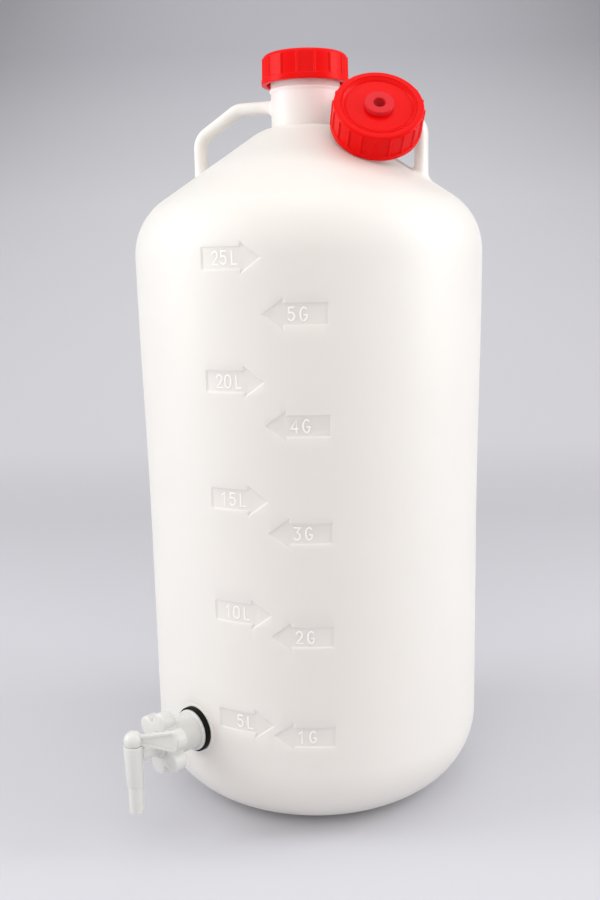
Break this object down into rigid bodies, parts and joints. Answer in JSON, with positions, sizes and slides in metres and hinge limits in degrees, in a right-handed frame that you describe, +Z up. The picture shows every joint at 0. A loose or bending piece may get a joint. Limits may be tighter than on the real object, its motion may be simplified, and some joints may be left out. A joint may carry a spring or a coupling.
{
  "type": "carboy with spigot",
  "caption": "Round blow-moulded carboy with two loop handles, a screw cap, a bored spare cap with a grommet leaning on its shoulder, and a plug tap held by a lobed nut.",
  "frame": {"origin": "on the tank's axis, at the floor", "axes": "+Z up, the tap points along -Y"},
  "size_m": [0.278, 0.3435, 0.5963],
  "materials": {
    "tank": "satin, milky translucent polythene",
    "cap": "satin polypropylene",
    "liner": "foam sealing disc",
    "grommet": "soft rubber",
    "gasket": "black rubber",
    "tap": "white moulded plastic"
  },
  "bodies": {
    "carboy": {"tank": "tank", "port_gasket": "gasket", "jam_nut": "tap", "tap_body": "tap", "bored_cap": "cap", "bored_cap_liner": "liner", "grommet": "grommet"},
    "sealing_disc": {"main_cap_liner": "liner"},
    "cap": {"main_cap": "cap"},
    "key": {"tap_key": "tap"}
  },
  "joints": [
    {"name": "cap_rise", "type": "slide", "parent": "carboy", "child": "sealing_disc", "axis": [0, 0, 1], "range_m": [0, 0.0211]},
    {"name": "cap_turn", "type": "hinge", "parent": "sealing_disc", "child": "cap", "pos_m": [0, 0, 0.57376], "axis": [0, 0, 1], "range_deg": [0, 1260]},
    {"name": "tap_turn", "type": "hinge", "parent": "carboy", "child": "key", "pos_m": [0, -0.197, 0.08], "axis": [0, 0, 1], "range_deg": [-252, 0]}
  ],
  "couplings": [
    {"joint": "cap_rise", "follows": "cap_turn", "m_per_rad": 0.00095493}
  ]
}
